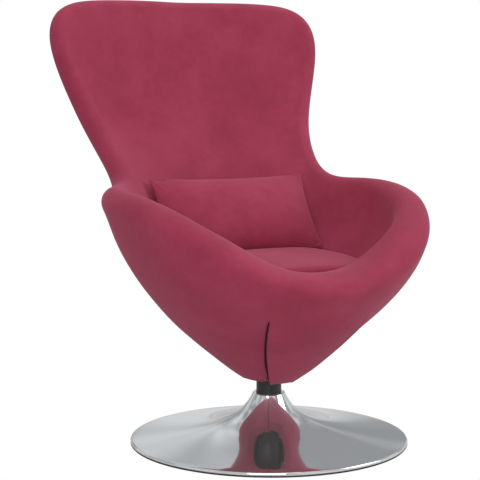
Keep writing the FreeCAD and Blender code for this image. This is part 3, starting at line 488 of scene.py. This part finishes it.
# %% rings of the outside, the roll and the inner wall
for rise in np.linspace(.004, 1, 92) ** 1.05:
    points = ring_of(outer, rise)
    push = slit_depth(points) + waves(points) * smooth(rise / .1)
    rings.append(points + ring_of(outward, rise) * push[:, None])
for swing in np.linspace(0, np.pi, 25)[1:-1]:
    points = ring_of(roll, swing)
    tilt = ring_of(outward, 1.0) * math.cos(swing) + np.array([0, 0, 1]) * math.sin(swing)
    rings.append(points + unit(tilt) * waves(points, 1.2)[:, None])
for rise in np.linspace(1, SEAT_EDGE, 62):
    points = ring_of(inner, rise)
    rings.append(points - ring_of(outward, rise) * waves(points, 1.4)[:, None])
last = rings[-1]
rings += [shrunk(last, share, FLOOR) for share in (.8, .55, .3)]
print(len(rings), "rings in all, of", len(turns), "points each")

# %% [markdown]
# ## The upholstery joins the chair
#
# The rings become one closed mesh. It rides on the seat's body, so it turns with it, and it
# replaces the three imported pieces that are its rough form. An attribute marks the slits, where
# the velvet gets painted shade in near-black. It could be painted by hand. It is worked out from
# each point's place instead, so it always fits the slits.

# %% the upholstery as one piece
pod = solid_from_rings("pod_upholstery", np.array(rings), [0, 0, LINING_TOP], [0, 0, FLOOR])
# This attribute marks the slits, where the velvet paints shade in near-black.
slit_shade = pod.data.attributes.new("slit_shade", "FLOAT", "POINT")
slit_shade.data.foreach_set("value", slit_gap(mesh_points(pod)))
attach(pod, "seat")
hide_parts("inner_pad", "outer_cover", "bottom_hem")
report(pod)

# %% [markdown]
# ## The loose seat pad
#
# The seat pad is a foam cushion that fills the bowl. A rounded box would look hard. Its outline
# here is a superellipse, which is between an ellipse and a rectangle. It is drawn in underneath,
# rounds over at its upper edge and swells to a low crown.

# %% outline of the seat pad
PAD_HALF, PAD_FRONT, PAD_BACK, PAD_POWER = .172, .192, .134, 4.2
PAD_DIP = .006


def pad_ring(inset, height, count=288):
    """Outline of the pad at a height, drawn in by an inset. Its front corners dip a little."""
    swing = 2 * np.pi * np.arange(count) / count - np.pi / 2
    cosine, sine = np.cos(swing), np.sin(swing)
    radius = (np.abs(cosine) ** PAD_POWER + np.abs(sine) ** PAD_POWER) ** (-1 / PAD_POWER)
    reach = np.where(sine < 0, PAD_FRONT, PAD_BACK)
    x = (PAD_HALF - inset) * cosine * radius
    y = (reach - inset) * sine * radius
    lifted = np.clip((height - FLOOR) / .030, 0, 1)
    z = height - PAD_DIP * lifted * smooth(np.abs(x) / PAD_HALF) * smooth(-y / PAD_FRONT)
    return np.stack([x, y, z], -1)


print("seat pad is", 2 * PAD_HALF, "m wide and", PAD_FRONT + PAD_BACK, "m deep")

# %% [markdown]
# ## The seat pad's section
#
# A real pad is a block of foam whose upper edge is pulled round by its cover. A Bevel modifier
# could round a block. Here outlines at rising heights go up its side, round a quarter circle and
# over a crown, because the crown can then fall away evenly in all directions.

# %% the seat pad as one piece
PAD_BASE, PAD_SIDE = FLOOR + .001, FLOOR + .006
PAD_SHOULDER, PAD_ROUNDING, PAD_CROWN, CROWN_INSET = FLOOR + .039, .013, .007, .130
PAD_TOP = FLOOR + .0592

pad_rows = [pad_ring(.10, PAD_BASE), pad_ring(.034, PAD_BASE), pad_ring(.024, FLOOR + .004)]
for share in np.linspace(0, 1, 10):
    height = PAD_SIDE + (PAD_SHOULDER - PAD_SIDE) * share
    pad_rows.append(pad_ring(.020 * (1 - share) ** 2, height))
for share in np.linspace(0, 1, 14)[1:]:
    edge = 1 - math.cos(share * math.pi / 2)
    height = PAD_SHOULDER + PAD_ROUNDING * math.sin(share * math.pi / 2)
    pad_rows.append(pad_ring(PAD_ROUNDING * edge, height))
for inset in (.020, .030, .044, .060, .080, .098, .114, CROWN_INSET):
    crown = PAD_CROWN * (1 - (1 - inset / CROWN_INSET) ** 2)
    pad_rows.append(pad_ring(inset, PAD_SHOULDER + PAD_ROUNDING + crown))
pad_grid = np.array(pad_rows)
pad_grid[..., 2] += waves(pad_grid, 1.6) * (pad_grid[..., 2] > FLOOR + .02)
seat_pad = solid_from_rings("seat_cushion", pad_grid, [0, 0, PAD_BASE], [0, 0, PAD_TOP])
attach(seat_pad, "seat")
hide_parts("seat_pad")
report(seat_pad)

# %% [markdown]
# ## The lumbar pillow
#
# The pillow is two rectangles of cloth sewn together and stuffed. A cloth simulation could blow
# one up. The formula here gives the same main form: a knife edge all round, four pointed corners,
# edges that pull in between them, and short creases at the corners.

# %% one face of the pillow
PILLOW_HALF, PILLOW_HEIGHT, PILLOW_SWELL = .192, .098, .043
PILLOW_LEAN = math.radians(34)
PILLOW_MIDDLE = np.array([0, .152, .482])
SIDE_PULL, EDGE_PULL, TOP_SAG = .045, .075, .004
CREASE_HEIGHT, CREASES = .0016, 26
HUMP_ACROSS, HUMP_UP, HUMP_FULLNESS = 2.4, 2.2, .62


def pillow_side(across, up, side):
    """One face of the pillow, for across and up from -1 to 1. The swell is the product of two
    rounded humps, and each edge pulls in by an amount that fades towards its corners."""
    hump = (1 - np.abs(across) ** HUMP_ACROSS) * (1 - np.abs(up) ** HUMP_UP)
    swell = PILLOW_SWELL * np.maximum(hump, 0) ** HUMP_FULLNESS
    x = PILLOW_HALF * across * (1 - SIDE_PULL * (1 - up ** 2) * np.abs(across))
    height = PILLOW_HEIGHT * up * (1 - EDGE_PULL * (1 - across ** 2) * np.abs(up))
    corner = np.clip(1.35 - np.hypot(1 - np.abs(across), 1 - np.abs(up)) * 3.2, 0, 1)
    spread = np.arctan2(1 - np.abs(up), 1 - np.abs(across) + 1e-6)
    crease = CREASE_HEIGHT * corner * np.sin(CREASES * spread)
    sag = TOP_SAG * (1 - across ** 2) * (up > 0) * up
    thick = side * (swell + crease * (hump > .002)) - sag
    lean, rise = math.sin(PILLOW_LEAN), math.cos(PILLOW_LEAN)
    y = PILLOW_MIDDLE[1] + height * lean - thick * rise
    z = PILLOW_MIDDLE[2] + height * rise + thick * lean
    return np.stack([x, y, z], -1)


def square_ring(share, count=256):
    """Ring of a square from its middle, at 0, to its edge, at 1, as across and up."""
    swing = 2 * np.pi * (np.arange(count) + .5) / count
    cosine, sine = np.cos(swing), np.sin(swing)
    largest = np.maximum(np.abs(cosine), np.abs(sine))
    return share * cosine / largest, share * sine / largest


print("pillow leans by", round(math.degrees(PILLOW_LEAN)), "degrees")

# %% [markdown]
# ## The pillow's two faces
#
# The real pillow's faces meet in a seam. They could be two meshes that are joined. Here square
# rings run from the middle of the front to the seam and back to the middle of the rear face, and
# they lie closer towards the seam, where the cloth turns quickest.

# %% the pillow as one piece
shares = 1 - np.linspace(1, 0, 44)[1:] ** 1.5
front = [pillow_side(*square_ring(share), 1) for share in shares]
back = [pillow_side(*square_ring(share), -1) for share in shares[::-1][1:]]
middle_front, middle_back = [pillow_side(np.zeros(1), np.zeros(1), side)[0] for side in (1, -1)]
pillow = solid_from_rings("lumbar_cushion", np.array(front + back), middle_front, middle_back)
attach(pillow, "pillow")
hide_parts("lumbar_pillow")
report(pillow)

# %% [markdown]
# ## The round base
#
# The base's cover is spun from thin sheet metal: a rounded edge, a shallow cone and a trumpet
# that rises to the neck. A Screw modifier could spin it, and a grid does the same with the helper
# above. The trumpet's height falls off as a power of its radius. Its curve matters more than
# usual, because the chrome mirrors the pod and the column along it.

# %% profile of the cover
BASE_RADIUS, RING_TOP, NECK_RADIUS, NECK_TOP = .300, .004, .034, .108
SLOPE, FLARE, SPREAD, GAUGE = math.radians(4.8), 2.3, .055, .0012
EDGE_ROUNDING = .0045


def base_profile():
    """Outer side of the cover from its edge to its neck, as radius and height: a quarter round, a
    straight slope, and a flare that is a power of the radius plus a spread."""
    centre = np.array([BASE_RADIUS - EDGE_ROUNDING, RING_TOP + .002])
    swing = np.linspace(0, math.pi / 2 - SLOPE, 9)
    edge = centre + EDGE_ROUNDING * np.stack([np.cos(swing), np.sin(swing)], -1)
    first = edge[-1]
    radii = np.concatenate([np.linspace(first[0], .12, 12)[1:], np.linspace(.12, .06, 14)[1:],
                            np.linspace(.06, NECK_RADIUS, 20)[1:]])
    height = first[1] + math.tan(SLOPE) * (first[0] - radii)
    neck = NECK_RADIUS + SPREAD
    end = (neck / (first[0] + SPREAD)) ** FLARE
    flare = ((neck / (radii + SPREAD)) ** FLARE - end) / (1 - end)
    height += flare * (NECK_TOP - first[1] - math.tan(SLOPE) * (first[0] - NECK_RADIUS))
    return np.vstack([[BASE_RADIUS, RING_TOP], edge, np.stack([radii, height], -1)])


side = base_profile()
print("profile of", len(side), "points, from", side[0], "to", side[-1])

# %% [markdown]
# ## Spinning the cover
#
# The real sheet is pressed over a turning form, so every section through its axis is the same. A
# closed profile, with an outer side, a lip at the neck and an inner side, is spun in the same
# way. The inner side is the outer one moved in by the sheet's gauge.

# %% the cover as one piece
BASE_COLUMNS = 256


def turned(name, profile):
    """Closed ring spun about the column's axis from a closed profile of radius and height."""
    swing = 2 * np.pi * np.arange(BASE_COLUMNS) / BASE_COLUMNS
    radius, height = np.vstack([profile, profile[:1]]).T
    grid = np.stack([radius[:, None] * np.cos(swing), radius[:, None] * np.sin(swing),
                     np.repeat(height[:, None], BASE_COLUMNS, 1)], -1)
    return solid_from_rings(name, grid)


tangent = unit(np.gradient(side, axis=0))
inside = side - GAUGE * np.stack([tangent[:, 1], -tangent[:, 0]], -1)
inside[:, 1] = np.maximum(inside[:, 1], RING_TOP)
lip = [[.0276, NECK_TOP + .0006], [.0272, NECK_TOP - .0002], [.0272, NECK_TOP - .0012]]
base = turned("base_shell", np.vstack([side, lip, inside[::-1]]))
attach(base, "base")
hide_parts("base_cover")
report(base)

# %% [markdown]
# ## The floor ring
#
# A thin plastic ring under the edge keeps the metal off the floor. A flattened torus could stand
# in for it, but its underside has to be flat where it stands on the floor. So it is spun from a
# profile of five corners, and it shows as a thin dark line under the chrome.

# %% the floor ring
RING_WIDTH, RING_CHAMFER = .038, .0012
RING_INSIDE = BASE_RADIUS - RING_WIDTH
ring = turned("rim_ring", [[BASE_RADIUS - RING_CHAMFER, 0], [BASE_RADIUS, RING_CHAMFER],
                           [BASE_RADIUS, RING_TOP], [RING_INSIDE, RING_TOP], [RING_INSIDE, 0]])
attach(ring, "base")
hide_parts("floor_ring")
report(ring)

# %% [markdown]
# ## Nodes that the materials share
#
# All materials are made from noise and simple maths, with no pictures. The noise reads object
# coordinates, so it stays in place when a piece turns or lifts. These helpers add one node each,
# with its numbers set.

# %% helpers for materials
def new_material(name):
    """Material with its principled shader, its nodes and its links."""
    material = bpy.data.materials.new(name)
    material.use_nodes = True
    nodes = material.node_tree.nodes
    return material, nodes["Principled BSDF"], nodes, material.node_tree.links


def noise(nodes, links, scale, detail=4.0, roughness=.55):
    """Noise texture on object coordinates."""
    place = nodes.new("ShaderNodeTexCoord")
    texture = nodes.new("ShaderNodeTexNoise")
    texture.inputs["Scale"].default_value = scale
    texture.inputs["Detail"].default_value = detail
    texture.inputs["Roughness"].default_value = roughness
    links.new(place.outputs["Object"], texture.inputs["Vector"])
    return texture


def ramp(nodes, links, source, stops):
    """Colour ramp driven by a value. Stops are pairs of a place and a colour."""
    colours = nodes.new("ShaderNodeValToRGB")
    while len(colours.color_ramp.elements) < len(stops):
        colours.color_ramp.elements.new(.5)
    for element, (place, colour) in zip(colours.color_ramp.elements, stops):
        element.position = place
        element.color = (*colour, 1)
    links.new(source, colours.inputs["Fac"])
    return colours


def bump(nodes, links, source, strength, distance, before=None):
    """Bump node, chained after another one if that is given."""
    node = nodes.new("ShaderNodeBump")
    node.inputs["Strength"].default_value = strength
    node.inputs["Distance"].default_value = distance
    links.new(source, node.inputs["Height"])
    if before is not None:
        links.new(before.outputs["Normal"], node.inputs["Normal"])
    return node


def mix_colours(nodes, links, share, first, second, blend="MIX"):
    """Mix of two colours by a share. Each is a node's output or a plain value."""
    node = nodes.new("ShaderNodeMixRGB")
    node.blend_type = blend
    for value, socket in ((share, "Fac"), (first, "Color1"), (second, "Color2")):
        if isinstance(value, bpy.types.NodeSocket):
            links.new(value, node.inputs[socket])
        else:
            node.inputs[socket].default_value = value
    return node.outputs["Color"]


print("helpers for noise, ramps, bumps and mixes")

# %% [markdown]
# ## Velvet
#
# Velvet looks bright at its edges, because its pile catches the light sideways, and its colour
# drifts where hands have brushed the pile. Hair strands would be far too heavy. Sheen on the shader
# gives part of the bright edge. The rest is painted sheen: a lighter colour mixed into the base
# colour where the surface turns away from the camera. Slow noise gives the brushed patches. The
# slits get painted shade: where an attribute of the pod marks them, the colour is mixed towards
# near-black.

# %% wine-red velvet
BRUSHED = [(.32, (.243, .021, .050)), (.52, (.278, .026, .062)), (.72, (.310, .034, .076))]
# painted sheen: a lighter colour mixed into the base colour where the surface turns from the camera
PAINTED_SHEEN_EDGE = (.42, .075, .125, 1)
# painted shade: the near-black colour mixed into the slits
SLIT_PAINTED_SHADE = (.006, .003, .004, 1)


def velvet_material():
    """Wine-red velvet: brushed patches, a painted sheen at the edge, painted shade in the slits and
    a fine pile.
    """
    material, shader, nodes, links = new_material("wine_velvet")
    patches = noise(nodes, links, 9.0, 5.0, .6)
    colour = ramp(nodes, links, patches.outputs["Fac"], BRUSHED)
    mottle = noise(nodes, links, 60.0, 5.0, .65)
    soft = mix_colours(nodes, links, .22, colour.outputs["Color"], mottle.outputs["Fac"],
                       "SOFT_LIGHT")
    # Painted sheen: the facing of the Layer Weight mixes the lighter edge colour into the base
    # colour.
    facing = nodes.new("ShaderNodeLayerWeight")
    facing.inputs["Blend"].default_value = .32
    painted_sheen_share = nodes.new("ShaderNodeMath")
    painted_sheen_share.operation = "MULTIPLY"
    painted_sheen_share.inputs[1].default_value = .55
    links.new(facing.outputs["Facing"], painted_sheen_share.inputs[0])
    edge = mix_colours(nodes, links, painted_sheen_share.outputs["Value"], soft, PAINTED_SHEEN_EDGE)
    # Painted shade: where the attribute marks the slits, the colour is mixed towards near-black.
    slit = nodes.new("ShaderNodeAttribute")
    slit.attribute_name = "slit_shade"
    slit_shaded = mix_colours(nodes, links, slit.outputs["Fac"], edge, SLIT_PAINTED_SHADE)
    links.new(slit_shaded, shader.inputs["Base Color"])
    shader.inputs["Roughness"].default_value = .82
    shader.inputs["Specular IOR Level"].default_value = .25
    shader.inputs["Sheen Weight"].default_value = .15
    shader.inputs["Sheen Roughness"].default_value = .38
    shader.inputs["Sheen Tint"].default_value = (.95, .45, .56, 1)
    pile = noise(nodes, links, 900.0, 3.0, .6)
    hand = noise(nodes, links, 42.0, 3.0, .5)
    coarse = bump(nodes, links, hand.outputs["Fac"], .22, .002)
    fine = bump(nodes, links, pile.outputs["Fac"], .30, .0006, coarse)
    links.new(fine.outputs["Normal"], shader.inputs["Normal"])
    return material


VELVET = velvet_material()
for piece in (pod, seat_pad, pillow):
    piece.data.materials.append(VELVET)
print("velvet on", pod.name, seat_pad.name, pillow.name)

# %% [markdown]
# ## Metals
#
# Chrome is a mirror, so its look comes from what it reflects. It could be a perfect mirror, but
# handled chrome never is, so its roughness drifts a little. Plain steel and zinc are rougher and
# have a fine grain. One function makes all three, since only their numbers differ.

# %% metals
def metal_material(name, colour, rough, spread, grain=0.0, metallic=1.0):
    """Metal whose roughness drifts a little, with a fine grain if one is wanted."""
    material, shader, nodes, links = new_material(name)
    shader.inputs["Metallic"].default_value = metallic
    shader.inputs["Base Color"].default_value = (*colour, 1)
    smear = noise(nodes, links, 14.0, 3.0)
    span = nodes.new("ShaderNodeMapRange")
    span.inputs["To Min"].default_value = rough
    span.inputs["To Max"].default_value = rough + spread
    links.new(smear.outputs["Fac"], span.inputs["Value"])
    links.new(span.outputs["Result"], shader.inputs["Roughness"])
    if grain:
        scratches = noise(nodes, links, 420.0, 4.0)
        links.new(bump(nodes, links, scratches.outputs["Fac"], grain, .0004).outputs["Normal"],
                  shader.inputs["Normal"])
    return material


CHROME = metal_material("polished_chrome", (.90, .91, .92), .03, .04, metallic=.93)
STEEL = metal_material("plain_steel", (.52, .52, .54), .30, .14, .15)
ZINC = metal_material("zinc_plate", (.66, .67, .70), .26, .12, .10)
base.data.materials.append(CHROME)
print("metals:", CHROME.name, STEEL.name, ZINC.name)

# %% [markdown]
# ## Paint, plastic and straps
#
# The column and the hidden frame are painted black, the bushes are pale plastic, and the straps
# are woven elastic. Plain colours would be enough from far away. A drift in the colour and a fine
# bump hold up close to it, and a wave texture gives the ribs of the straps.

# %% paint, plastic and straps
def coated_material(name, colour, rough, texture, strength):
    """Paint or plastic with a fine texture and a colour that drifts slightly."""
    material, shader, nodes, links = new_material(name)
    lighter = tuple(channel * 1.5 + .004 for channel in colour)
    drift = noise(nodes, links, 22.0, 4.0)
    shade = ramp(nodes, links, drift.outputs["Fac"], [(.35, colour), (.7, lighter)])
    links.new(shade.outputs["Color"], shader.inputs["Base Color"])
    shader.inputs["Roughness"].default_value = rough
    peel = noise(nodes, links, texture, 3.0)
    links.new(bump(nodes, links, peel.outputs["Fac"], strength, .0005).outputs["Normal"],
              shader.inputs["Normal"])
    return material


def webbing_material():
    """Woven elastic strap with ribs, from bands of a wave texture."""
    material, shader, nodes, links = new_material("black_webbing")
    place = nodes.new("ShaderNodeTexCoord")
    ribs = nodes.new("ShaderNodeTexWave")
    ribs.inputs["Scale"].default_value = 160
    links.new(place.outputs["Object"], ribs.inputs["Vector"])
    stops = [(.2, (.010, .010, .011)), (.8, (.05, .05, .055))]
    shade = ramp(nodes, links, ribs.outputs["Fac"], stops)
    links.new(shade.outputs["Color"], shader.inputs["Base Color"])
    shader.inputs["Roughness"].default_value = .9
    links.new(bump(nodes, links, ribs.outputs["Fac"], .5, .0008).outputs["Normal"],
              shader.inputs["Normal"])
    return material


BLACK = coated_material("black_paint", (.012, .012, .013), .42, 700.0, .10)
PLASTIC = coated_material("black_plastic", (.016, .016, .017), .55, 900.0, .15)
BUSH = coated_material("pale_plastic", (.62, .61, .57), .48, 600.0, .10)
WEBBING = webbing_material()
ring.data.materials.append(PLASTIC)
print("coats:", BLACK.name, PLASTIC.name, BUSH.name, WEBBING.name)

# %% [markdown]
# ## The pieces that come from the frame
#
# Tube, plates, screws, rails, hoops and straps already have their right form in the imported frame.
# They could be made again with softer edges, but the padding and the base hide nearly all of
# them. So they stay as they are, and each only gets its material.

# %% materials on the frame's own pieces
NODE_MATERIALS = {
    STEEL: ("ballast_plate", "spindle"), ZINC: ("flange_screws", "spindle_keeper", "plate_screws"),
    BLACK: ("column", "swivel_plate", "seat_rails", "cross_rails", "lower_hoop", "upper_hoop",
            "back_stays", "side_stays"),
    BUSH: ("column_bushes",), WEBBING: ("seat_webbing", "back_webbing")}
for material, names in NODE_MATERIALS.items():
    for name in names:
        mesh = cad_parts[name].data
        mesh.materials.clear()
        mesh.materials.append(material)
print("materials on", sum(len(names) for names in NODE_MATERIALS.values()), "carried nodes")

# %% [markdown]
# ## The white room
#
# The photograph is a plain studio picture on white. Walls of white cards could be built, but a
# world colour is simpler and has no edges. The camera sees it plain white. The chrome sees soft
# grey patches in it instead, made by noise, as it would see the drapes and cards of a studio.

# %% room
ROOM_LEVEL = .54

world = bpy.data.worlds.new("room")
bpy.context.scene.world = world
world.use_nodes = True
room_nodes, room_links = world.node_tree.nodes, world.node_tree.links
background = room_nodes["Background"]
rays = room_nodes.new("ShaderNodeLightPath")
level = room_nodes.new("ShaderNodeMapRange")
level.inputs["To Min"].default_value = ROOM_LEVEL
level.inputs["To Max"].default_value = 1.0
room_links.new(rays.outputs["Is Camera Ray"], level.inputs["Value"])
room_links.new(level.outputs["Result"], background.inputs["Strength"])
direction = room_nodes.new("ShaderNodeTexCoord")
drapes = room_nodes.new("ShaderNodeTexNoise")
drapes.inputs["Scale"].default_value = 2.6
drapes.inputs["Detail"].default_value = 2.0
room_links.new(direction.outputs["Generated"], drapes.inputs["Vector"])
greys = ramp(room_nodes, room_links, drapes.outputs["Fac"],
             [(.40, (.52, .54, .56)), (.60, (1.22, 1.25, 1.27))])
mirrored = mix_colours(room_nodes, room_links, rays.outputs["Is Glossy Ray"], (1, 1, 1, 1),
                       greys.outputs["Color"])
room_links.new(mirrored, background.inputs["Color"])
print("room lights the chair at a level of", ROOM_LEVEL)

# %% [markdown]
# ## The floor
#
# The floor of the photograph is as white as the room behind it. A lit floor would come out grey
# and show its horizon. So this one is plain white to the camera, which also means that it shows
# no shadow, and it is a pale matt floor to all other rays.

# %% floor
FLOOR_HALF = 9


def backdrop_material():
    """Pale matt floor that is plain white to the camera, so that it meets the white room."""
    material, shader, nodes, links = new_material("white_floor")
    shader.inputs["Base Color"].default_value = (.74, .74, .74, 1)
    shader.inputs["Roughness"].default_value = .9
    sight = nodes.new("ShaderNodeLightPath")
    glow = nodes.new("ShaderNodeEmission")
    glow.inputs["Strength"].default_value = 1.0
    mix = nodes.new("ShaderNodeMixShader")
    links.new(sight.outputs["Is Camera Ray"], mix.inputs["Fac"])
    links.new(shader.outputs["BSDF"], mix.inputs[1])
    links.new(glow.outputs["Emission"], mix.inputs[2])
    links.new(mix.outputs["Shader"], nodes["Material Output"].inputs["Surface"])
    return material


corners = [(x * FLOOR_HALF, y * FLOOR_HALF, 0) for x, y in ((-1, -1), (1, -1), (1, 1), (-1, 1))]
floor_mesh = bpy.data.meshes.new("studio_floor")
floor_mesh.from_pydata(corners, [], [(0, 1, 2, 3)])
floor = bpy.data.objects.new("studio_floor", floor_mesh)
bpy.context.scene.collection.objects.link(floor)
floor_mesh.materials.append(backdrop_material())
print("floor of", 2 * FLOOR_HALF, "m")

# %% [markdown]
# ## Lamps
#
# A studio uses large soft boxes, and area lamps are their match. One stands to the front left,
# a weaker one to the right, and the weakest hangs above, so that the seat is a little lighter
# than the sides.

# %% lamps
def lamp(name, place, target, power, width):
    """Square area lamp that faces a target."""
    data = bpy.data.lights.new(name, "AREA")
    data.energy = power
    data.size = width
    lamp_object = bpy.data.objects.new(name, data)
    bpy.context.scene.collection.objects.link(lamp_object)
    lamp_object.location = place
    aim = Vector(target) - Vector(place)
    lamp_object.rotation_euler = aim.to_track_quat("-Z", "Y").to_euler()


lamp("key", (-1.6, -2.8, 1.9), (0, 0, .5), 48, 1.8)
lamp("fill", (2.6, -1.6, 1.9), (0, 0, .5), 34, 1.8)
lamp("top", (.2, .4, 3.2), (0, 0, .4), 20, 1.6)
print("lamps:", len(bpy.data.lights))

# %% [markdown]
# ## Camera
#
# The camera stands 28 degrees to the chair's side, a little above its middle, and looks down by
# 6 degrees. Its place was found by fitting the ellipse of the base and the outlines of the pod.
# The long lens keeps the upright lines nearly parallel.

# %% camera
AZIMUTH, DISTANCE, EYE, DROP, YAW = -28.0, 3.05, .7754, 6.3086, 1.1749
FOCAL_PIXELS, FRAME_PIXELS, SENSOR = 1431.3, 480, 36

swing = math.radians(AZIMUTH)
heading = swing + math.radians(YAW)
drop = math.radians(DROP)
camera_data = bpy.data.cameras.new("studio_camera")
camera_data.sensor_width = SENSOR
camera_data.lens = FOCAL_PIXELS / FRAME_PIXELS * SENSOR
camera = bpy.data.objects.new("studio_camera", camera_data)
bpy.context.scene.collection.objects.link(camera)
camera.location = (math.sin(swing) * DISTANCE, -math.cos(swing) * DISTANCE, EYE)
forward = Vector((-math.sin(heading) * math.cos(drop), math.cos(heading) * math.cos(drop),
                  -math.sin(drop)))
camera.rotation_euler = forward.to_track_quat("-Z", "Y").to_euler()
bpy.context.scene.camera = camera
bpy.context.scene.view_settings.view_transform = "Standard"
print("lens", round(camera_data.lens, 1), "mm")
